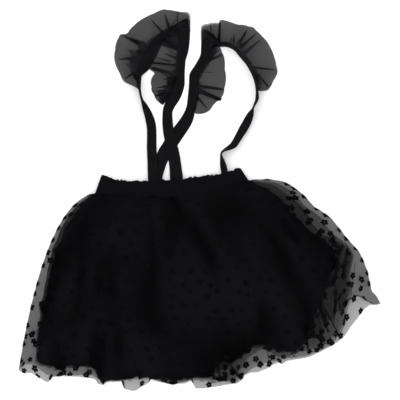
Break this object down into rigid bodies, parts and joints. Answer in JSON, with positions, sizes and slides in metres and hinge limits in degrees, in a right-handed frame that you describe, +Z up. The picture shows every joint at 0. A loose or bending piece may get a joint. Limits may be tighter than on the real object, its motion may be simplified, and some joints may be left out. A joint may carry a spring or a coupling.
{
  "type": "tulle skirt",
  "caption": "Child's black tulle skirt laid flat: spotted overlay, plain petticoat, lining, elastic waistband and crossed shoulder straps with gathered ruffles.",
  "frame": {"origin": "middle of the garment's outline, on the surface that it lies on", "axes": "+X to the right as seen from above, +Y from the hem towards the shoulders, +Z up from the surface; the garment's front faces +Z"},
  "size_m": [0.5432, 0.573, 0.0167],
  "materials": {
    "spotted_tulle": "sheer black net with small flocked flowers",
    "plain_tulle": "sheer black net",
    "lining": "soft opaque black woven lining",
    "waistband": "black knit, ruched on a wide elastic",
    "strap_tape": "black ribbed elastic tape",
    "ruffle_tulle": "sheer black tulle, folded double and gathered"
  },
  "bodies": {
    "root": {"overlay_front": "spotted_tulle", "overlay_back": "spotted_tulle", "petticoat_front": "plain_tulle", "petticoat_back": "plain_tulle", "lining_front": "lining", "lining_back": "lining", "waistband_front": "waistband", "waistband_back": "waistband", "strap_left_front": "strap_tape", "strap_left_back": "strap_tape", "strap_right_front": "strap_tape", "strap_right_back": "strap_tape", "ruffle_left_front": "ruffle_tulle", "ruffle_left_back": "ruffle_tulle", "ruffle_right_front": "ruffle_tulle", "ruffle_right_back": "ruffle_tulle"}
  },
  "joints": []
}
